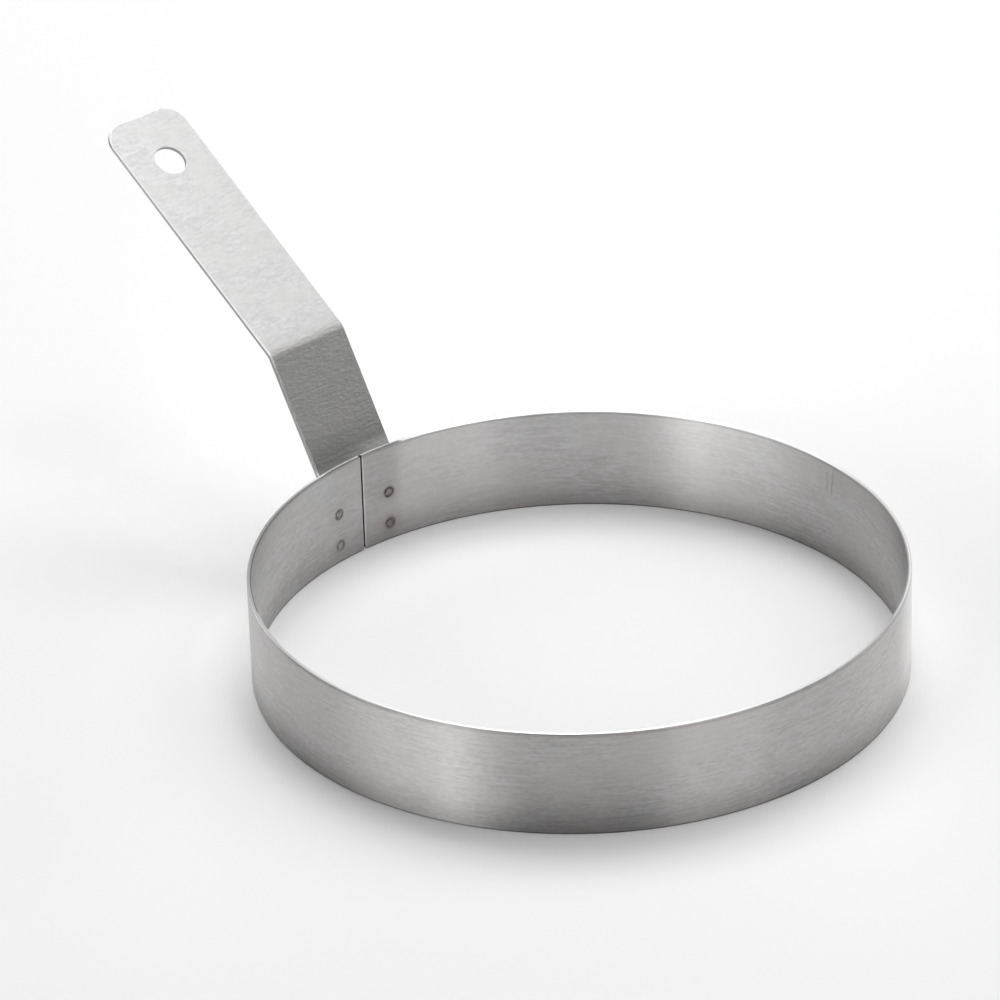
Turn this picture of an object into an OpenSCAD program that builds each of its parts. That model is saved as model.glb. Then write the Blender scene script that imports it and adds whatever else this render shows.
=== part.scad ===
// Egg ring: a band of sheet steel rolled into a ring, with a bent strip handle
// spot welded over its butt seam. The origin is the ring's centre on the surface
// that it stands on, +Z is up, and the handle leaves the ring along +X.

/* [Ring] */
// Outer diameter of the ring
ring_outer_d = 152.4; // [76:0.1:260]
// Height of the band
ring_height = 25.4; // [20:0.1:60]
// Thickness of the band
ring_wall = 1.0; // [0.6:0.1:2]
// Broken edge along the band's two rims
rim_break = 0.15; // [0.05:0.05:0.25]
// Open width of the butt seam
seam_gap = 0.5; // [0.2:0.1:2]
// Clipped corners of the band's two ends at the bottom of the seam
seam_clip = 0.6; // [0.2:0.1:1.5]
// Clipped corners of the band's two ends at the top of the seam
seam_top_clip = 0.2; // [0.1:0.1:1.5]

/* [Handle strip] */
// Width of the strip
strip_width = 23.1; // [14:0.1:40]
// Thickness of the strip
strip_thickness = 1.2; // [0.8:0.1:2.5]
// Broken edge round the strip's upper face
strip_break = 0.35; // [0.05:0.05:0.35]
// Broken edge round the strip's lower face, where the shears left it
strip_lower_break = 0.1; // [0.05:0.05:0.35]
// Angle of the lower leg above the horizontal
lower_angle = 59.8; // [45:0.1:75]
// Length of the lower leg's upper face, between its sharp corners
lower_leg = 33.1; // [15:0.1:80]
// Angle of the upper leg above the horizontal
upper_angle = 33.6; // [0:0.1:50]
// Length of the upper leg's upper face, from its sharp corner to the end
upper_leg = 71.4; // [40:0.1:160]
// Inside radius of the bend where the handle leaves the ring
root_bend_r = 2.0; // [0.5:0.1:6]
// Inside radius of the bend between the two legs
knee_bend_r = 3.0; // [0.5:0.1:10]
// Corner radius at the handle's free end
end_corner_r = 5.5; // [1:0.1:11]

/* [Hanging hole] */
// Diameter of the hanging hole
hole_d = 8.0; // [3:0.1:16]
// Distance of the hole's centre from the handle's end
hole_from_end = 14.0; // [9:0.1:55]
// Broken edge round the hole, on both faces
hole_break = 0.15; // [0.05:0.05:0.4]

/* [Welded tab] */
// Height of the tab's lower edge above the ring's base
tab_lift = 1.0; // [0.5:0.1:2.5]
// Corner radius at the tab's lower edge
tab_corner_r = 3.0; // [0.5:0.1:6]
// Drop of the handle's root below the ring's top rim
root_drop = 3.7; // [1:0.1:6]
// Gap between the faces of the band and the tab
weld_gap = 0.05; // [0.02:0.01:0.3]

/* [Spot welds] */
// Diameter of each spot weld
weld_d = 3.0; // [2:0.1:4]
// Height of the lower pair of welds above the tab's lower edge
weld_rise = 3.5; // [2.5:0.1:5]
// Distance between the lower and the upper pair
weld_pitch = 8.4; // [5:0.1:10]
// Distance of the welds from the strip's sides
weld_inset = 3.5; // [2.5:0.1:7]
// Depth of the electrode's dent below each face
weld_dent = 0.04; // [0.02:0.01:0.1]
// Distance from the weld's edge to the middle of the ring that the electrode pressed in
imprint_inset = 0.45; // [0.4:0.05:0.6]
// Width of that ring
imprint_w = 0.5; // [0.2:0.1:0.6]

/* [Hidden] */
$fn = 96;

// How far a cutting shape reaches past the face that it cuts
past = 1;
// Flat stretches across the tab's curve, and along each bend
tab_steps = 24;
bend_steps = 10;

outer_r = ring_outer_d / 2;
inner_r = outer_r - ring_wall;
half_w = strip_width / 2;

// The handle's middle line in the XZ plane, on the face that looks at the ring
tab_r = outer_r + weld_gap;
root = [tab_r, ring_height - root_drop];
lower_dir = [cos(lower_angle), sin(lower_angle)];
upper_dir = [cos(upper_angle), sin(upper_angle)];
upper_up = [-sin(upper_angle), cos(upper_angle)];
knee = root + lower_leg * lower_dir;

// The face that looks at the ring is the outside of both bends
root_r = root_bend_r + strip_thickness;
root_run = root_r * tan((90 - lower_angle) / 2);
knee_r = knee_bend_r + strip_thickness;
knee_run = knee_r * tan((lower_angle - upper_angle) / 2);
knee_end = knee + knee_run * upper_dir;
knee_centre = knee_end - knee_r * upper_up;
upper_run = upper_leg - knee_run;

// Where the spot welds sit on the ring
weld_y = half_w - weld_inset;
weld_turn = asin(weld_y / tab_r);
weld_heights = [tab_lift + weld_rise, tab_lift + weld_rise + weld_pitch];
weld_length = ring_wall + weld_gap + strip_thickness * cos(weld_turn);

module ring_band() {
    color("silver")
        difference() {
            rotate([0, 0, seam_turn() / 2])
                rotate_extrude(angle = 360 - seam_turn())
                    band_section();
            seam_notch(seam_clip);
            translate([0, 0, ring_height])
                mirror([0, 0, 1])
                    seam_notch(seam_top_clip);
            weld_places()
                cylinder(d = weld_d, h = 2 * past + weld_length);
        }
}

module handle() {
    color("gainsboro")
        translate([knee_end[0], 0, knee_end[1]])
            rotate([0, -upper_angle, 0]) {
                lower_strip();
                upper_strip();
            }
}

module spot_welds() {
    color("darkgray")
        weld_places()
            translate([0, 0, past])
                weld_plug();
}

// The angle that the seam takes out of the ring
function seam_turn() = 2 * asin(seam_gap / 2 / outer_r);

// Section of the band, with its four edges broken
module band_section() {
    translate([inner_r, 0])
        broken_bar(ring_wall, ring_height, rim_break, rim_break);
}

// A rectangle from the origin with its lower and upper corners cut off at 45 degrees
module broken_bar(x, y, low, high) {
    polygon([
        [low, 0], [x - low, 0], [x, low], [x, y - high],
        [x - high, y], [high, y], [0, y - high], [0, low]
    ]);
}

// Takes the lower corners off both ends of the band
module seam_notch(clip) {
    reach = seam_gap / 2 + clip + past;
    translate([inner_r - past, 0, 0])
        rotate([90, 0, 90])
            linear_extrude(ring_wall + 2 * past)
                polygon([[-reach, -past], [reach, -past], [0, reach - past]]);
}

// Section of the strip: its width along X, its upper face at Y = 0
module strip_section() {
    translate([-half_w, -strip_thickness])
        strip_bar(strip_width);
}

module strip_bar(width) {
    broken_bar(width, strip_thickness, strip_lower_break, strip_break);
}

module strip_run(length) {
    rotate([90, 0, 90])
        linear_extrude(length)
            strip_section();
}

// The upper leg, from the end of the knee bend at X = 0
module upper_strip() {
    difference() {
        union() {
            strip_run(upper_run - end_corner_r);
            translate([upper_run, 0, 0])
                rounded_end();
        }
        translate([upper_run - hole_from_end, 0, 0])
            hanging_hole();
    }
}

// Free end of the handle, with its tip at X = 0
module rounded_end() {
    for (side = [-1, 1])
        translate([-end_corner_r, side * (half_w - end_corner_r), -strip_thickness])
            rotate_extrude()
                intersection() {
                    translate([-end_corner_r, 0])
                        strip_bar(2 * end_corner_r);
                    square([end_corner_r, strip_thickness]);
                }
    rotate([90, 0, 0])
        linear_extrude(strip_width - 2 * end_corner_r, center = true)
            intersection() {
                translate([-2 * end_corner_r, -strip_thickness])
                    strip_bar(2 * end_corner_r);
                translate([-end_corner_r, -strip_thickness])
                    square([end_corner_r, strip_thickness]);
            }
}

// Cutting shape of the hole, through an upper face at Z = 0
module hanging_hole() {
    hole_r = hole_d / 2;
    translate([0, 0, -strip_thickness - past])
        cylinder(r = hole_r, h = strip_thickness + 2 * past);
    for (face = [0, 1])
        translate([0, 0, -face * strip_thickness])
            mirror([0, 0, face])
                translate([0, 0, -hole_break])
                    cylinder(r1 = hole_r, r2 = hole_r + hole_break + past, h = hole_break + past);
}

// The tab that lies round the ring, the lower leg and both bends, in the upper leg's frame
module lower_strip() {
    difference() {
        polyhedron(points = strip_points(), faces = strip_faces());
        rotate([0, upper_angle, 0])
            translate([-knee_end[0], 0, -knee_end[1]]) {
                for (side = [-1, 1])
                    tab_corner_cut(side);
                weld_places()
                    cylinder(d = weld_d, h = 2 * past + weld_length);
            }
    }
}

// How far a circle of the tab's radius falls back at a distance y from its middle
function fall(y) = tab_r - sqrt(pow(tab_r, 2) - pow(y, 2));

// Points round the strip's section, as [y, depth below the upper face]
function section_loop() =
    let (
        upper = half_w - strip_break,
        lower = half_w - strip_lower_break,
        deep = strip_thickness - strip_lower_break
    )
    concat(
        [for (i = [0 : tab_steps]) [upper * (2 * i / tab_steps - 1), 0]],
        [[half_w, strip_break], [half_w, deep]],
        [for (i = [tab_steps : -1 : 0]) [lower * (2 * i / tab_steps - 1), strip_thickness]],
        [[-half_w, deep], [-half_w, strip_break]]
    );

// The three functions that follow give the place of a loop point p in the XZ plane.
// The tab's lower edge is level all the way across.
function lower_edge(p) = [tab_r - fall(p[0]) + p[1], tab_lift];

// The root bend slides down along the lower leg towards the strip's sides, so that
// the tab follows the ring's curve below it while the leg above it stays flat
function root_bend(p, turn) =
    let (r = root_r - p[1])
    [
        tab_r + root_r - r * cos(turn) - fall(p[0]),
        root[1] - root_run + r * sin(turn) - fall(p[0]) * tan(lower_angle)
    ];

function knee_bend(p, turn) =
    knee_centre + (knee_r - p[1]) * [-sin(lower_angle - turn), cos(lower_angle - turn)];

// A place in the XZ plane as a point of the upper leg's frame, at the loop point's y
function in_upper_frame(p, place) =
    let (v = place - knee_end)
    [v * upper_dir, p[0], v * upper_up];

function strip_points() =
    let (
        loop = section_loop(),
        root_turn = 90 - lower_angle,
        knee_turn = lower_angle - upper_angle
    )
    concat(
        [for (p = loop) in_upper_frame(p, lower_edge(p))],
        [for (k = [0 : bend_steps]) for (p = loop)
            in_upper_frame(p, root_bend(p, root_turn * k / bend_steps))],
        [for (k = [0 : bend_steps]) for (p = loop)
            in_upper_frame(p, knee_bend(p, knee_turn * k / bend_steps))]
    );

function strip_faces() =
    let (n = len(section_loop()), rows = 2 * bend_steps + 2)
    concat(
        [for (k = [0 : rows - 1]) for (i = [0 : n - 1])
            [k * n + i, k * n + (i + 1) % n, (k + 1) * n + (i + 1) % n, (k + 1) * n + i]],
        end_faces(0, [3, 2, 1, 0]),
        end_faces(rows * n, [0, 1, 2, 3])
    );

// Closes the loop that starts at a point number, with strips across the thickness
function end_faces(start, order) =
    let (n = len(section_loop()), right = tab_steps + 1)
    [for (corners = concat(
        [for (i = [0 : tab_steps - 1]) [i, i + 1, n - 4 - i, n - 3 - i]],
        [[right - 1, right, right + 1, right + 2], [n - 1, 0, n - 3, n - 2]]
    )) [for (i = order) start + corners[i]]];

// Rounds one lower corner of the tab
module tab_corner_cut(side) {
    translate([0, side * (half_w - tab_corner_r), tab_lift + tab_corner_r])
        rotate([90, 0, 90])
            linear_extrude(tab_r + strip_thickness + past)
                difference() {
                    translate([side > 0 ? 0 : -tab_corner_r - past, -tab_corner_r - past])
                        square(tab_corner_r + past);
                    circle(tab_corner_r);
                }
}

// Puts its children at each weld, along +Z, with the band's inner face at Z = past
module weld_places() {
    for (side = [-1, 1], height = weld_heights)
        rotate([0, 0, side * weld_turn])
            translate([inner_r - past, 0, height])
                rotate([0, 90, 0])
                    children();
}

// Fused metal of one weld, with a ring pressed into both of its ends
module weld_plug() {
    rotate_extrude()
        difference() {
            translate([0, weld_dent])
                square([weld_d / 2, weld_length - 2 * weld_dent]);
            for (end = [weld_dent, weld_length - weld_dent])
                translate([weld_d / 2 - imprint_inset, end])
                    circle(d = imprint_w);
        }
}

ring_band();
handle();
spot_welds();
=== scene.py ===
import math

import bpy
from mathutils import Matrix, Vector

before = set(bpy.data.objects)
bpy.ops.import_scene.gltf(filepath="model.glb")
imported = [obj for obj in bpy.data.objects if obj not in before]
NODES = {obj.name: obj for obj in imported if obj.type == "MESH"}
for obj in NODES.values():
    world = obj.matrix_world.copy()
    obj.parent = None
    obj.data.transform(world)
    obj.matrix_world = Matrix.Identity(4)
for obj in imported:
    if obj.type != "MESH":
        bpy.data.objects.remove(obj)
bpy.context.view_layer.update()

# The photograph's view: a long lens that looks past the ring's centre, in metres, degrees and pixels
CAMERA_DISTANCE = 1.2804
CAMERA_AZIMUTH = 137.0
CAMERA_ELEVATION = 30.17
CAMERA_ROLL = -1.36
CAMERA_CLIP = (0.05, 20.0)
PICTURE_SIZE = 1000
FOCAL_PIXELS = 5530.0
CENTRE_PIXEL = (581.13, 659.74)
SENSOR_MM = 36.0

# Where the ring, its seam, the strip and the spot welds are, in metres, for the materials that follow them
RING_RADIUS = 0.0762
RING_WALL = 0.001
RING_HEIGHT = 0.0254
RIM_BREAK = 0.00015
SEAM_HALF = 0.00025
KNEE_X = 0.094
GRIP_X = 0.1
GRIP_SLOPE = 33.6
WELD_Y = 0.00805
WELD_MIDDLE_Z = 0.0087
WELD_HALF_PITCH = 0.0042
INNER_RADIUS = RING_RADIUS - RING_WALL
MIDDLE_RADIUS = RING_RADIUS - RING_WALL / 2
# Half the finest difference in place that tells a face from the broken edge beside it
EDGE_HAIR = 0.00001

# Brushed steel: its colours
BAND_LIGHT = (0.563, 0.558, 0.558)
BAND_DARK = (0.437, 0.427, 0.422)
BAND_WARM = (0.51, 0.485, 0.475)
STRIP_LIGHT = (0.55, 0.55, 0.55)
STRIP_DARK = (0.46, 0.46, 0.46)
STRIP_WARM = (0.505, 0.5, 0.495)
WELD_LIGHT = (0.5, 0.49, 0.49)
WELD_DARK = (0.36, 0.35, 0.35)
# Painted light: a sheen on the inner wall, and a highlight at the outer wall's right end
PAINTED_SHEEN = (0.9, 0.9, 0.9)
# The rim's ground face, which is also the colour of painted highlights on the seam's lip and wall and at
# the leg's root
RIM_FACE = (0.95, 0.95, 0.95)
# Painted shade: the dark line along the band's foot
FOOT_SHADE_LINE = (0.12, 0.115, 0.115)
# Painted light: a warm sheen on the lower leg
LEG_PAINTED_SHEEN = (1.0, 0.96, 0.84)
# Painted shade inside the seam's slot
SEAM_WALL_SHADE = (0.22, 0.22, 0.22)
STRIP_SIDE = (0.36, 0.36, 0.36)
# The broken edges; white and not metallic on the upper leg, as a painted highlight
STRIP_ARRIS = (0.95, 0.95, 0.95)
HEAT_TINT = (0.42, 0.36, 0.35)
BURNT = (0.13, 0.12, 0.12)
BLACK = (0.0, 0.0, 0.0)

# Its grain: length and width of the streaks and clouds in metres, the noise's detail and each one's share
BAND_GRAIN = {"fine": (0.0016, 0.0006), "long": (0.006, 0.0007), "cloud": (0.02, 0.012)}
STRIP_GRAIN = {"fine": (0.0012, 0.00062), "long": (0.0035, 0.0008), "cloud": (0.009, 0.007)}
STREAK_DETAIL = 1.0
CLOUD_DETAIL = 2.0
STREAK_SHARE = 0.8
CLOUD_SHARE = 0.2
# How far the grain spreads its highlights, and their turn from the tangent in full turns
ANISOTROPY = 0.9
BAND_ROTATION = 0.25
STRIP_ROTATION = 0.0
# Height of the bump that the streaks make, in metres, and how many times higher it is on the lower leg
BAND_BUMP = 0.000006
STRIP_BUMP = 0.00003
LEG_RELIEF = 3.9

# From here on, four numbers in brackets are a ramp: its start, its end, and its strength at each of them.
# Places are in metres. These three ramps run over the noise
GRAIN_SHADE = (0.3, 0.7, 0.0, 1.0)
CLOUD_WARMTH = (0.4, 0.65, 0.0, 0.6)
STREAK_ROUGHNESS = (0.35, 0.65, 0.37, 0.33)

# Heat round the spot welds: away from a weld's middle, and across the seam
TINT_REACH = (0.0013, 0.0045, 0.55, 0.0)
SINGED_REACH = (0.0014, 0.002, 0.4, 0.0)
TINT_ACROSS = (-0.002, 0.002, 1.0, 0.4)
# A weld's burnt ring: its two edges, its gaps over the noise, its change with height and across the seam
BURNT_INNER_EDGE = (0.0002, 0.0009, 0.1, 1.0)
BURNT_OUTER_EDGE = (0.0013, 0.0019, 1.0, 0.4)
BURNT_GAPS = (0.35, 0.65, 0.2, 0.9)
BURNT_RISE = (0.006, 0.011, 0.6, 1.0)
BURNT_ACROSS = (-0.002, 0.002, 1.0, 0.65)
# How far its outline wanders, over the noise, and the length of the wanderings and of the gaps in metres
BURNT_WOBBLE = (0.0, 1.0, -0.0007, 0.0007)
WOBBLE_LENGTH = 0.0011
GAP_LENGTH = 0.0014

# The band's inner wall: a painted sheen that grows with height, and tarnish away from the seam, across it
# and with height
PAINTED_SHEEN_RISE = (0.004, 0.024, 0.0, 0.21)
TARNISH_REACH = (0.008, 0.014, 0.2, 0.0)
TARNISH_ACROSS = (-0.002, 0.002, 1.0, 0.2)
TARNISH_RISE = (0.004, 0.02, 0.3, 1.0)
# Scratches inside the band: turn from the point opposite the seam in degrees, height and half length
# in metres, slope in degrees and darkness
SCRATCHES = [
    (-85.0, 0.0205, 0.0034, 90.0, 0.2),
    (-83.6, 0.0205, 0.0042, 84.0, 0.26),
    (-71.0, 0.0178, 0.0078, -17.0, 0.12),
    (-73.0, 0.0145, 0.006, -20.0, 0.1),
]
SCRATCH_HALF = 0.0004

# The band's outer wall: painted shade low on its front, and a painted highlight at its right end. The two
# turns run over the cosine of the angle from straight ahead and from straight right
FRONT_SHADE_TURN = (0.965, 0.995, 0.0, 1.0)
FRONT_SHADE_RISE = (0.0, 0.022, 0.24, 0.0)
PAINTED_HIGHLIGHT_TURN = (0.93, 1.0, 0.0, 0.55)
# The band's foot: painted shade, with a painted dark line lowest
FOOT_SHADE_RISE = (0.0, 0.009, 0.21, 0.0)
FOOT_SHADE_LINE_RISE = (0.0001, 0.0005, 1.0, 0.0)
# The seam: a painted highlight on the lip beside it, its own wall in painted light and shade from the inner
# face outwards, and painted shade at its foot
SEAM_LIP_HIGHLIGHT = (-0.0008, -0.0005, 0.0, 0.35)
SEAM_DEPTH = (INNER_RADIUS + 0.0001, INNER_RADIUS + 0.0003, 0.0, 1.0)
SEAM_FOOT_SHADE = (0.0008, 0.0016, 1.0, 0.0)

# The ground rim: the painted dark line under it, and its painted shade beside the tab, on the left and on
# the right
UNDER_RIM_SHADE = (RING_HEIGHT - 0.0009, RING_HEIGHT - 0.0005, 0.0, 0.2)
TAB_REACH = (0.011, 0.013, 1.0, 0.0)
TAB_DEPTH = (INNER_RADIUS + 0.0002, INNER_RADIUS + 0.0006, 0.75, 0.35)
LEFT_X = (0.026, 0.049, 0.0, 0.13)
LEFT_DEPTH = (INNER_RADIUS, INNER_RADIUS + 0.0004, 0.82, 0.0)
RIGHT_X = (-0.03, 0.0, 1.0, 0.0)
RIGHT_Y = (-0.042, -0.024, 1.0, 0.0)
RIGHT_DEPTH = (INNER_RADIUS + 0.0002, INNER_RADIUS + 0.0006, 0.65, 0.1)
# Painted shade on the left from which the inner edge is darker still
LEFT_EDGE_FROM = 0.05
# The rim's outer edge in front, which is brushed as the wall is, and its right, which is painted white as a
# highlight
OUTER_EDGE_X = (-0.02, 0.0, 1.0, 0.0)
OUTER_EDGE_DEPTH = (RING_RADIUS - 0.00045, RING_RADIUS - 0.00015, 0.0, 1.0)
PAINTED_WHITE_X = (-0.01, 0.03, 1.0, 0.0)
PAINTED_WHITE_Y = (-0.045, -0.025, 1.0, 0.0)

# The handle's lower leg: where it starts above the tab, its painted sheen, its foot's painted shade and the
# painted glint at its end
LEG_RISE = (0.018, RING_HEIGHT - 0.001, 0.0, 1.0)
LEG_PAINTED_SHEEN_SHARE = 0.075
LEG_FOOT_SHADE_RISE = (0.025, 0.034, 0.33, 0.0)
LEG_FOOT_SHADE_ACROSS = (-0.006, 0.004, 0.6, 1.0)
PAINTED_GLINT_RISE = (0.0256, 0.0269, 0.32, 0.0)
PAINTED_GLINT_ACROSS = (-0.009, 0.005, 1.0, 0.1)
# The knee's shade along the handle: it grows, drops at the knee's line and dies away
KNEE_SHADE = [
    (KNEE_X - 0.0011, KNEE_X - 0.0005, 0.0, 0.2),
    (KNEE_X - 0.0003, KNEE_X + 0.0003, 1.0, 0.38),
    (KNEE_X + 0.0003, KNEE_X + 0.004, 1.0, 0.0),
]
# How far a face looks along the strip's plane, squared: the least for a broken edge and for a sheared side
ARRIS_FROM = 0.36
SIDE_FROM = 0.72
# Painted highlight: where the broken edges turn white and not metallic, towards the upper leg
PAINTED_ARRIS_X = (0.09, 0.096, 0.0, 1.0)

FLOOR_HALF = 3.0
FLOOR_COLOUR = (0.9, 0.9, 0.9)
# Painted shade: the floor's greyer colours near the camera, far off and to the sides
FLOOR_NEAR_SHADE = (0.848, 0.848, 0.848)
FLOOR_FAR_SHADE = (0.88, 0.88, 0.88)
FLOOR_ASIDE_SHADE = (0.83, 0.83, 0.83)
# Where painted shade greys the floor: towards the camera, away from it, and to both sides of a line
NEAR_REACH = (0.06, 0.16, 0.0, 1.0)
FAR_REACH = (-0.35, -0.1, 1.0, 0.0)
ASIDE_MIDDLE = -0.012
ASIDE_REACH = (0.07, 0.115, 0.0, 0.8)
ASIDE_NEAR = (0.06, 0.16, 1.0, 0.3)
ASIDE_FAR = (-0.1, -0.02, 0.4, 1.0)
# Painted light that lifts the floor's shadows in soft patches: azimuth and half width in degrees,
# radii in metres at which the glow is whole and gone, and its strength, where 1 is white
PAINTED_FLOOR_GLOWS = [
    (6.0, 16.0, 0.105, 0.185, 0.17),
    (44.0, 32.0, 0.078, 0.097, 0.13),
    (-142.0, 36.0, 0.076, 0.092, 0.1),
    (-12.0, 62.0, 0.064, 0.04, 0.075),
]
WORLD_COLOUR = (1.0, 1.0, 1.0)
WORLD_STRENGTH = 0.01

# Soft boxes aimed at the ring, in rows: elevation in degrees, width and height in metres,
# and each box's azimuth from the camera in degrees with its watts
LAMP_DISTANCE = 2.0
LAMP_TARGET = (0.03, 0.0, 0.015)
LAMP_ROWS = [
    (13.5, 0.35, 0.95, {
        -75: 1.7, -65: 3.1, -55: 3.2, -45: 3.5, -35: 3.0, 35: 1.5, 45: 0.9, 55: 1.5,
    }),
    (13.5, 0.7, 0.95, {
        -155: 0.9, -130: 2.1, 110: 1.8, 130: 2.7, 150: 3.1, 170: 2.6,
    }),
    (13.5, 0.15, 0.95, {
        -41: 2.4, 33: 0.5,
    }),
    (38.0, 1.05, 0.75, {
        -165: 1.0, -135: 0.7, -45: 2.9, 45: 1.1, 105: 2.6, 135: 4.5,
    }),
    (58.0, 1.1, 0.65, {
        -157: 8.2, 67: 2.7, 112: 1.8, 157: 6.6,
    }),
    (75.0, 0.9, 0.45, {
        -90: 0.7, 0: 0.5, 90: 4.4, 180: 6.4,
    }),
    (89.0, 0.5, 0.5, {
        0: 1.5,
    }),
]


def direction(azimuth, elevation):
    """The unit vector towards an azimuth and an elevation, both in degrees."""
    azimuth, elevation = math.radians(azimuth), math.radians(elevation)
    return Vector((
        math.cos(elevation) * math.cos(azimuth),
        math.cos(elevation) * math.sin(azimuth),
        math.sin(elevation),
    ))


def make_camera():
    roll = math.radians(CAMERA_ROLL)
    away = direction(CAMERA_AZIMUTH, CAMERA_ELEVATION)
    right = direction(CAMERA_AZIMUTH + 90.0, 0.0)
    up = away.cross(right)
    level = Matrix((
        right * math.cos(roll) + up * math.sin(roll),
        up * math.cos(roll) - right * math.sin(roll),
        -away,
    ))
    half = PICTURE_SIZE / 2
    aim = Vector((
        (CENTRE_PIXEL[0] - half) / FOCAL_PIXELS,
        (half - CENTRE_PIXEL[1]) / FOCAL_PIXELS,
        1.0,
    ))
    turn = Vector((0.0, 0.0, 1.0)).rotation_difference(aim).to_matrix()
    axes = turn @ level
    data = bpy.data.cameras.new("camera")
    data.sensor_width = SENSOR_MM
    data.lens = SENSOR_MM * FOCAL_PIXELS / PICTURE_SIZE
    data.clip_start, data.clip_end = CAMERA_CLIP
    camera = bpy.data.objects.new("camera", data)
    bpy.context.scene.collection.objects.link(camera)
    turned = Matrix((axes[0], axes[1], -axes[2])).transposed()
    camera.matrix_world = Matrix.Translation(away * CAMERA_DISTANCE) @ turned.to_4x4()
    bpy.context.scene.camera = camera


class Graph:
    """A material's node tree, with short calls for the arithmetic that its patterns need."""

    def __init__(self, name):
        self.material = bpy.data.materials.new(name)
        self.material.use_nodes = True
        self.nodes, self.links = self.material.node_tree.nodes, self.material.node_tree.links
        self.nodes.clear()

    def feed(self, socket, value):
        if isinstance(value, (int, float)):
            socket.default_value = value
        else:
            self.links.new(value, socket)

    def math(self, operation, *values):
        node = self.nodes.new("ShaderNodeMath")
        node.operation = operation
        for socket, value in zip(node.inputs, values):
            self.feed(socket, value)
        return node.outputs[0]

    def vector(self, x, y, z):
        node = self.nodes.new("ShaderNodeCombineXYZ")
        for socket, value in zip(node.inputs, (x, y, z)):
            self.feed(socket, value)
        return node.outputs[0]

    def place(self):
        """A point's x, y and z in metres."""
        split = self.nodes.new("ShaderNodeSeparateXYZ")
        self.links.new(self.nodes.new("ShaderNodeTexCoord").outputs["Object"], split.inputs[0])
        return split.outputs

    def radius(self):
        """A point's distance from the ring's axis."""
        x, y, _ = self.place()
        squares = self.math("ADD", self.math("POWER", x, 2.0), self.math("POWER", y, 2.0))
        return self.math("SQRT", squares)

    def reach(self, azimuth):
        """How far a point lies from the ring's axis towards an azimuth in degrees."""
        x, y, _ = self.place()
        towards = direction(azimuth, 0.0)
        return self.math("ADD", self.math("MULTIPLY", x, towards.x), self.math("MULTIPLY", y, towards.y))

    def turn(self):
        """A point's angle round the ring in radians, from the point opposite the seam."""
        x, y, _ = self.place()
        return self.math("ARCTAN2", y, self.math("MULTIPLY", x, -1.0))

    def normal(self):
        split = self.nodes.new("ShaderNodeSeparateXYZ")
        self.links.new(self.nodes.new("ShaderNodeNewGeometry").outputs["True Normal"], split.inputs[0])
        return split.outputs

    def both(self, *masks):
        total = masks[0]
        for mask in masks[1:]:
            total = self.math("MULTIPLY", total, mask)
        return total

    def noise(self, position, detail):
        node = self.nodes.new("ShaderNodeTexNoise")
        node.inputs["Scale"].default_value = 1.0
        node.inputs["Detail"].default_value = detail
        self.links.new(position, node.inputs["Vector"])
        return node.outputs[0]

    def fade(self, value, ramp):
        """A smooth ramp over a value: its start, its end and its strengths at the start and the end."""
        node = self.nodes.new("ShaderNodeMapRange")
        node.interpolation_type = "SMOOTHSTEP"
        self.feed(node.inputs["Value"], value)
        for socket, number in zip(list(node.inputs)[1:5], ramp):
            socket.default_value = number
        return node.outputs[0]

    def blend(self, factor, first, second):
        node = self.nodes.new("ShaderNodeMix")
        node.data_type = "RGBA"
        self.feed(node.inputs["Factor"], factor)
        for name, colour in (("A", first), ("B", second)):
            socket = [s for s in node.inputs if s.name == name and s.type == "RGBA"][0]
            if isinstance(colour, tuple):
                socket.default_value = (*colour, 1.0)
            else:
                self.links.new(colour, socket)
        return [s for s in node.outputs if s.type == "RGBA"][0]


def ring_grain(graph, along, across):
    """A position for noise whose cells run round the ring; its wrap lies at the seam."""
    _, _, z = graph.place()
    return graph.vector(
        graph.math("MULTIPLY", graph.turn(), RING_RADIUS / along),
        graph.math("MULTIPLY", z, 1.0 / across),
        graph.math("MULTIPLY", graph.radius(), 1.0 / across),
    )


def strip_grain(graph, along, across):
    """A position for noise whose cells run across the handle's strip."""
    x, y, z = graph.place()
    return graph.vector(
        graph.math("MULTIPLY", x, 1.0 / across),
        graph.math("MULTIPLY", y, 1.0 / along),
        graph.math("MULTIPLY", z, 1.0 / across),
    )


def weld_distance(graph):
    """Distance from the nearest spot weld's middle, seen along the handle."""
    x, y, z = graph.place()
    side = graph.math("SUBTRACT", graph.math("ABSOLUTE", y), WELD_Y)
    level = graph.math("ABSOLUTE", graph.math("SUBTRACT", z, WELD_MIDDLE_Z))
    rise = graph.math("SUBTRACT", level, WELD_HALF_PITCH)
    behind = graph.math("LESS_THAN", x, 0.0)
    total = graph.math("ADD", graph.math("POWER", side, 2.0), graph.math("POWER", rise, 2.0))
    return graph.math("ADD", graph.math("SQRT", total), behind)


def heat_tint(graph, colour):
    """Tinted and singed steel round the spot welds, fainter on one side of the seam."""
    _, y, _ = graph.place()
    distance = weld_distance(graph)
    across = graph.fade(y, TINT_ACROSS)
    colour = graph.blend(graph.both(graph.fade(distance, TINT_REACH), across), colour, HEAT_TINT)
    return graph.blend(graph.both(graph.fade(distance, SINGED_REACH), across), colour, BURNT)


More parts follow.
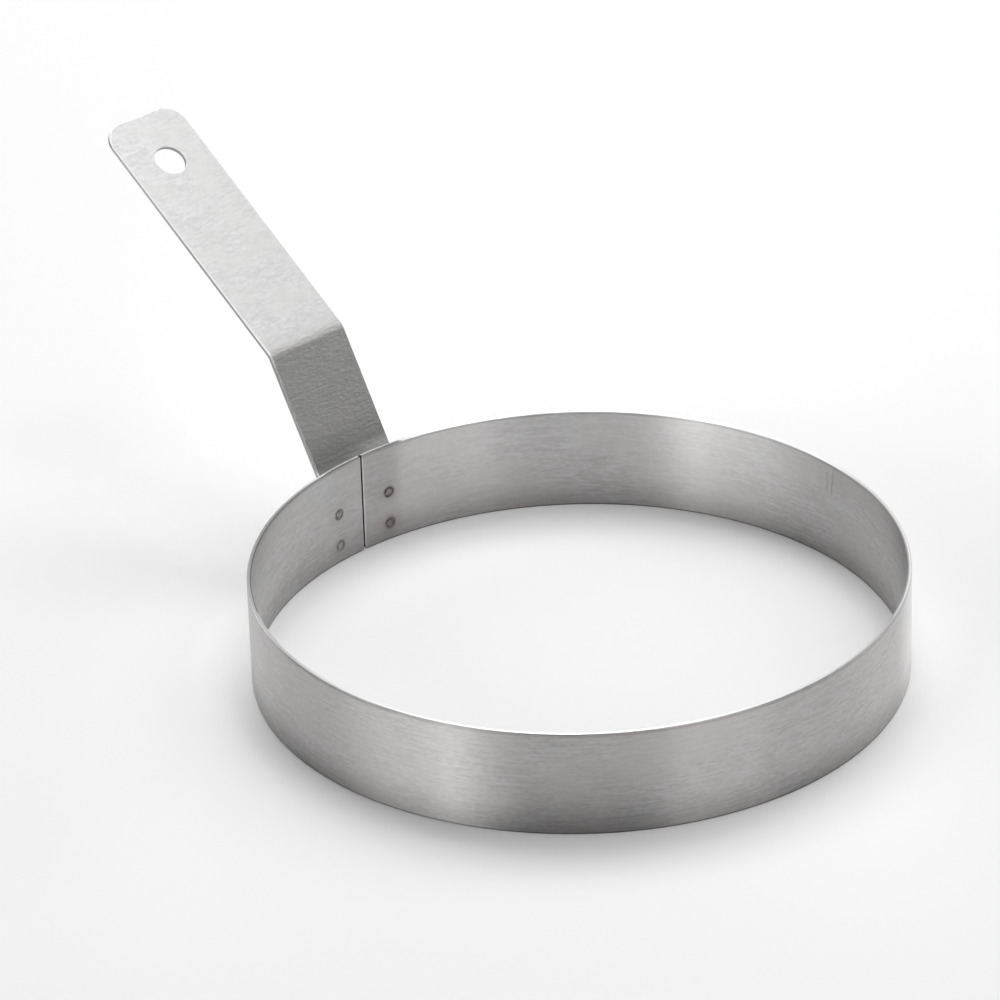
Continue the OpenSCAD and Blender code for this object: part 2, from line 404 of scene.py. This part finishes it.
def brushed_steel(name, position, grain, axis, rotation, colours, bump_height, relief=None):
    """Steel brushed along its grain: short streaks over long ones, and faint clouds of light and warmth."""
    light, dark, warm = colours
    graph = Graph(name)
    output = graph.nodes.new("ShaderNodeOutputMaterial")
    shader = graph.nodes.new("ShaderNodeBsdfPrincipled")
    shader.inputs["Metallic"].default_value = 1.0
    shader.inputs["Anisotropic"].default_value = ANISOTROPY
    shader.inputs["Anisotropic Rotation"].default_value = rotation
    fine = graph.noise(position(graph, *grain["fine"]), STREAK_DETAIL)
    long = graph.noise(position(graph, *grain["long"]), STREAK_DETAIL)
    cloud = graph.noise(position(graph, *grain["cloud"]), CLOUD_DETAIL)
    streaks = graph.math("MULTIPLY", graph.math("ADD", fine, long), 0.5)
    shade = graph.math(
        "ADD", graph.math("MULTIPLY", streaks, STREAK_SHARE), graph.math("MULTIPLY", cloud, CLOUD_SHARE))
    colour = graph.blend(graph.fade(shade, GRAIN_SHADE), dark, light)
    colour = graph.blend(graph.fade(cloud, CLOUD_WARMTH), colour, warm)
    colour = heat_tint(graph, colour)
    graph.feed(shader.inputs["Roughness"], graph.fade(streaks, STREAK_ROUGHNESS))
    tangent = graph.nodes.new("ShaderNodeTangent")
    tangent.direction_type = "RADIAL"
    tangent.axis = axis
    graph.links.new(tangent.outputs["Tangent"], shader.inputs["Tangent"])
    bump = graph.nodes.new("ShaderNodeBump")
    bump.inputs["Distance"].default_value = bump_height
    height = graph.both(streaks, relief(graph)) if relief else streaks
    graph.links.new(height, bump.inputs["Height"])
    graph.links.new(bump.outputs["Normal"], shader.inputs["Normal"])
    graph.links.new(shader.outputs["BSDF"], output.inputs["Surface"])
    return graph, shader, colour


def scratch(graph, turn, height, half_length, slope, darkness):
    """How dark one straight scratch makes the band's inside, at its place on the unrolled wall."""
    _, _, z = graph.place()
    side = graph.math("MULTIPLY", graph.math("SUBTRACT", graph.turn(), math.radians(turn)), RING_RADIUS)
    rise = graph.math("SUBTRACT", z, height)
    lean, stand = math.cos(math.radians(slope)), math.sin(math.radians(slope))
    along = graph.math("ADD", graph.math("MULTIPLY", side, lean), graph.math("MULTIPLY", rise, stand))
    across = graph.math("SUBTRACT", graph.math("MULTIPLY", rise, lean), graph.math("MULTIPLY", side, stand))
    return graph.both(
        graph.fade(graph.math("ABSOLUTE", across), (0.0, SCRATCH_HALF, darkness, 0.0)),
        graph.fade(graph.math("ABSOLUTE", along), (half_length / 2, half_length, 1.0, 0.0)),
    )


def band_inside(graph, colour, inside, handle_side):
    """The inner wall: painted light that grows towards its rim, scratched, and tarnished beside the seam.
    """
    _, y, z = graph.place()
    colour = graph.blend(graph.both(graph.fade(z, PAINTED_SHEEN_RISE), inside), colour, PAINTED_SHEEN)
    for mark in SCRATCHES:
        colour = graph.blend(graph.both(scratch(graph, *mark), inside), colour, BLACK)
    tarnish = graph.both(
        graph.fade(graph.math("ABSOLUTE", y), TARNISH_REACH),
        graph.fade(y, TARNISH_ACROSS),
        graph.fade(z, TARNISH_RISE),
        handle_side,
        inside,
    )
    return graph.blend(tarnish, colour, BLACK)


def band_outside(graph, colour, outside):
    """The outer wall: painted shade low on its front, and a painted highlight at its right end as the
    camera sees it.
    """
    _, _, z = graph.place()
    radius = graph.radius()
    front = graph.fade(graph.math("DIVIDE", graph.reach(CAMERA_AZIMUTH), radius), FRONT_SHADE_TURN)
    colour = graph.blend(graph.both(front, outside, graph.fade(z, FRONT_SHADE_RISE)), colour, BLACK)
    right = graph.fade(graph.math("DIVIDE", graph.reach(CAMERA_AZIMUTH + 90.0), radius), PAINTED_HIGHLIGHT_TURN)
    return graph.blend(graph.both(right, outside), colour, PAINTED_SHEEN)


# Painted shade: darker towards the band's foot, with a dark line lowest
def band_foot_shade(graph, colour):
    _, _, z = graph.place()
    colour = graph.blend(graph.fade(z, FOOT_SHADE_RISE), colour, BLACK)
    return graph.blend(graph.fade(z, FOOT_SHADE_LINE_RISE), colour, FOOT_SHADE_LINE)


def band_seam(graph, colour, handle_side):
    """The butt seam: a painted highlight on the lip beside it, and its own wall in painted light and shade,
    bright at the inner face, dark at its foot.
    """
    _, y, z = graph.place()
    lip = graph.both(graph.fade(y, SEAM_LIP_HIGHLIGHT), graph.math("LESS_THAN", y, -SEAM_HALF), handle_side)
    colour = graph.blend(lip, colour, RIM_FACE)
    narrow = graph.math("LESS_THAN", graph.math("ABSOLUTE", y), SEAM_HALF + EDGE_HAIR)
    wall = graph.blend(graph.fade(graph.radius(), SEAM_DEPTH), RIM_FACE, SEAM_WALL_SHADE)
    wall = graph.blend(graph.fade(z, SEAM_FOOT_SHADE), wall, BLACK)
    return graph.blend(graph.both(narrow, handle_side), colour, wall)


def rim_painted_shade(graph, handle_side):
    """Painted shade on the rim: most beside the tab, a little on the left, and on the right's inner edge.
    """
    x, y, _ = graph.place()
    radius = graph.radius()
    by_tab = graph.both(
        graph.fade(graph.math("ABSOLUTE", y), TAB_REACH), graph.fade(radius, TAB_DEPTH), handle_side)
    left = graph.both(graph.fade(x, LEFT_X), graph.math("GREATER_THAN", y, 0.0))
    left_edge = graph.both(
        graph.fade(radius, LEFT_DEPTH), graph.math("GREATER_THAN", left, LEFT_EDGE_FROM))
    right = graph.both(graph.fade(radius, RIGHT_DEPTH), graph.fade(x, RIGHT_X), graph.fade(y, RIGHT_Y))
    return graph.math("MAXIMUM", graph.math("MAXIMUM", by_tab, graph.math("ADD", left, left_edge)), right)


def band_rim(graph, shader, colour, handle_side):
    """The ground rim over a painted dark line, with painted shade on it; where it is painted white as a
    highlight, it isn't metallic.
    """
    x, y, z = graph.place()
    colour = graph.blend(graph.fade(z, UNDER_RIM_SHADE), colour, BLACK)
    rim_colour = graph.blend(rim_painted_shade(graph, handle_side), RIM_FACE, BLACK)
    outer_edge = graph.both(graph.fade(graph.radius(), OUTER_EDGE_DEPTH), graph.fade(x, OUTER_EDGE_X))
    rim_colour = graph.blend(outer_edge, rim_colour, colour)
    rim = graph.math("GREATER_THAN", z, RING_HEIGHT - RIM_BREAK + EDGE_HAIR)
    painted_white = graph.both(rim, graph.fade(y, PAINTED_WHITE_Y), graph.fade(x, PAINTED_WHITE_X))
    graph.feed(shader.inputs["Metallic"], graph.math("SUBTRACT", 1.0, painted_white))
    return graph.blend(rim, colour, rim_colour)


def band_steel():
    """The band: its two walls, its foot, its seam and its rim."""
    colours = (BAND_LIGHT, BAND_DARK, BAND_WARM)
    graph, shader, colour = brushed_steel(
        "band_steel", ring_grain, BAND_GRAIN, "Z", BAND_ROTATION, colours, BAND_BUMP)
    x, _, _ = graph.place()
    handle_side = graph.math("GREATER_THAN", x, 0.0)
    inside = graph.math("LESS_THAN", graph.radius(), MIDDLE_RADIUS)
    colour = band_inside(graph, colour, inside, handle_side)
    colour = band_outside(graph, colour, graph.math("SUBTRACT", 1.0, inside))
    colour = band_foot_shade(graph, colour)
    colour = band_seam(graph, colour, handle_side)
    colour = band_rim(graph, shader, colour, handle_side)
    graph.links.new(colour, shader.inputs["Base Color"])
    return graph.material


def leg_mask(graph):
    """1 on the handle's lower leg, above the tab, and 0 elsewhere."""
    x, _, z = graph.place()
    return graph.both(graph.math("LESS_THAN", x, KNEE_X), graph.fade(z, LEG_RISE))


def leg_relief(graph):
    """How many times higher the streaks' bump is: more on the lower leg, and 1 elsewhere."""
    return graph.fade(leg_mask(graph), (0.0, 1.0, 1.0, LEG_RELIEF))


def lower_leg(graph, colour):
    """The lower leg: a faint warm painted sheen, and painted shade at its foot that ends in a painted glint
    at the root bend.
    """
    _, y, z = graph.place()
    leg = leg_mask(graph)
    colour = graph.blend(graph.both(leg, LEG_PAINTED_SHEEN_SHARE), colour, LEG_PAINTED_SHEEN)
    foot = graph.both(graph.fade(z, LEG_FOOT_SHADE_RISE), graph.fade(y, LEG_FOOT_SHADE_ACROSS), leg)
    colour = graph.blend(foot, colour, BLACK)
    glint = graph.both(graph.fade(z, PAINTED_GLINT_RISE), graph.fade(y, PAINTED_GLINT_ACROSS), leg)
    return graph.blend(glint, colour, RIM_FACE)


def strip_edges(graph, shader, colour):
    """The strip's sheared sides, duller than its faces, and the bright broken edges along them, painted
    white and not metallic on the upper leg as a highlight.
    """
    x, _, _ = graph.place()
    face_x, face_y, face_z = graph.normal()
    slope = math.radians(GRIP_SLOPE)
    outward = graph.math(
        "ADD",
        graph.math("MULTIPLY", face_x, math.cos(slope)),
        graph.math("MULTIPLY", face_z, math.sin(slope)),
    )
    grip_end = graph.math(
        "MULTIPLY", graph.math("POWER", outward, 2.0), graph.math("GREATER_THAN", x, GRIP_X))
    edge = graph.math("ADD", graph.math("POWER", face_y, 2.0), grip_end)
    arris = graph.math("GREATER_THAN", edge, ARRIS_FROM)
    side = graph.math("GREATER_THAN", edge, SIDE_FROM)
    bright = graph.both(graph.math("SUBTRACT", arris, side), graph.fade(x, PAINTED_ARRIS_X))
    graph.feed(shader.inputs["Metallic"], graph.math("SUBTRACT", 1.0, bright))
    return graph.blend(side, graph.blend(arris, colour, STRIP_ARRIS), STRIP_SIDE)


def handle_steel():
    """The strip: its lower leg, its shaded knee and its edges."""
    colours = (STRIP_LIGHT, STRIP_DARK, STRIP_WARM)
    graph, shader, colour = brushed_steel(
        "handle_steel", strip_grain, STRIP_GRAIN, "Y", STRIP_ROTATION, colours, STRIP_BUMP, leg_relief)
    x, _, _ = graph.place()
    colour = lower_leg(graph, colour)
    knee = graph.both(*[graph.fade(x, ramp) for ramp in KNEE_SHADE])
    colour = graph.blend(knee, colour, BLACK)
    colour = strip_edges(graph, shader, colour)
    graph.links.new(colour, shader.inputs["Base Color"])
    return graph.material


def weld_steel():
    """A weld's pressed end: a broken dark ring of burnt steel round a lighter middle, faint on one side."""
    colours = (WELD_LIGHT, WELD_DARK, HEAT_TINT)
    graph, shader, colour = brushed_steel(
        "weld_steel", ring_grain, BAND_GRAIN, "Z", BAND_ROTATION, colours, BAND_BUMP)
    _, y, z = graph.place()
    wobble = graph.noise(ring_grain(graph, WOBBLE_LENGTH, WOBBLE_LENGTH), 0.0)
    distance = graph.math("ADD", weld_distance(graph), graph.fade(wobble, BURNT_WOBBLE))
    gaps = graph.noise(ring_grain(graph, GAP_LENGTH, GAP_LENGTH), STREAK_DETAIL)
    burnt = graph.both(
        graph.fade(distance, BURNT_INNER_EDGE),
        graph.fade(distance, BURNT_OUTER_EDGE),
        graph.fade(gaps, BURNT_GAPS),
        graph.fade(z, BURNT_RISE),
        graph.fade(y, BURNT_ACROSS),
    )
    graph.links.new(graph.blend(burnt, colour, BURNT), shader.inputs["Base Color"])
    return graph.material


def dress(node, material):
    slots = NODES[node].data.materials
    slots.clear()
    slots.append(material)


def painted_floor_glow(graph, azimuth, half_width, whole, gone, strength):
    """One soft patch of painted light on the floor, outside the ring or inside it."""
    radius = graph.radius()
    turn = graph.math("ARCCOSINE", graph.math("DIVIDE", graph.reach(azimuth), radius))
    return graph.both(
        graph.math("GREATER_THAN" if gone > whole else "LESS_THAN", radius, MIDDLE_RADIUS),
        graph.fade(radius, (whole, gone, strength, 0.0)),
        graph.fade(turn, (0.0, math.radians(half_width), 1.0, 0.0)),
    )


def floor_colour(graph):
    """White, with painted shade that greys it a little near the camera, far off and to both sides."""
    nearer = graph.reach(CAMERA_AZIMUTH)
    colour = graph.blend(graph.fade(nearer, NEAR_REACH), FLOOR_COLOUR, FLOOR_NEAR_SHADE)
    colour = graph.blend(graph.fade(nearer, FAR_REACH), colour, FLOOR_FAR_SHADE)
    right = graph.math("SUBTRACT", graph.reach(CAMERA_AZIMUTH + 90.0), ASIDE_MIDDLE)
    aside = graph.both(
        graph.fade(graph.math("ABSOLUTE", right), ASIDE_REACH),
        graph.fade(nearer, ASIDE_NEAR),
        graph.fade(nearer, ASIDE_FAR),
    )
    return graph.blend(aside, colour, FLOOR_ASIDE_SHADE)


def floor_paper():
    """White paper, with painted light that glows in soft patches and lifts its shadows there."""
    graph = Graph("floor")
    output = graph.nodes.new("ShaderNodeOutputMaterial")
    paper = graph.nodes.new("ShaderNodeBsdfDiffuse")
    glow = graph.nodes.new("ShaderNodeEmission")
    total = graph.nodes.new("ShaderNodeAddShader")
    graph.links.new(floor_colour(graph), paper.inputs["Color"])
    path = graph.nodes.new("ShaderNodeLightPath").outputs
    mirrored = graph.math("MAXIMUM", path["Is Glossy Ray"], path["Is Transmission Ray"])
    seen = graph.math("MAXIMUM", path["Is Camera Ray"], mirrored)
    strength = painted_floor_glow(graph, *PAINTED_FLOOR_GLOWS[0])
    for place in PAINTED_FLOOR_GLOWS[1:]:
        strength = graph.math("ADD", strength, painted_floor_glow(graph, *place))
    graph.links.new(graph.both(strength, seen), glow.inputs["Strength"])
    graph.links.new(paper.outputs["BSDF"], total.inputs[0])
    graph.links.new(glow.outputs["Emission"], total.inputs[1])
    graph.links.new(total.outputs["Shader"], output.inputs["Surface"])
    graph.material.cycles.emission_sampling = "NONE"
    return graph.material


def make_floor():
    bpy.ops.mesh.primitive_plane_add(size=2 * FLOOR_HALF)
    floor = bpy.context.object
    floor.name = "floor"
    floor.data.materials.append(floor_paper())


def make_world():
    world = bpy.data.worlds.new("studio")
    world.use_nodes = True
    bpy.context.scene.world = world
    nodes, links = world.node_tree.nodes, world.node_tree.links
    nodes.clear()
    output = nodes.new("ShaderNodeOutputWorld")
    background = nodes.new("ShaderNodeBackground")
    background.inputs["Color"].default_value = (*WORLD_COLOUR, 1.0)
    background.inputs["Strength"].default_value = WORLD_STRENGTH
    links.new(background.outputs["Background"], output.inputs["Surface"])


def add_lamp(turn, elevation, width, height, watts):
    away = direction(CAMERA_AZIMUTH + turn, elevation)
    data = bpy.data.lights.new("soft_box", "AREA")
    data.shape = "RECTANGLE"
    data.size = width
    data.size_y = height
    data.energy = watts
    lamp = bpy.data.objects.new("soft_box", data)
    bpy.context.scene.collection.objects.link(lamp)
    lamp.location = Vector(LAMP_TARGET) + away * LAMP_DISTANCE
    lamp.rotation_euler = away.to_track_quat("Z", "Y").to_euler()


def make_lamps():
    for elevation, width, height, boxes in LAMP_ROWS:
        for turn, watts in boxes.items():
            add_lamp(turn, elevation, width, height, watts)


make_camera()
make_floor()
make_world()
make_lamps()
dress("ring_band", band_steel())
dress("handle", handle_steel())
dress("spot_welds", weld_steel())

bpy.context.scene.view_settings.view_transform = "Standard"
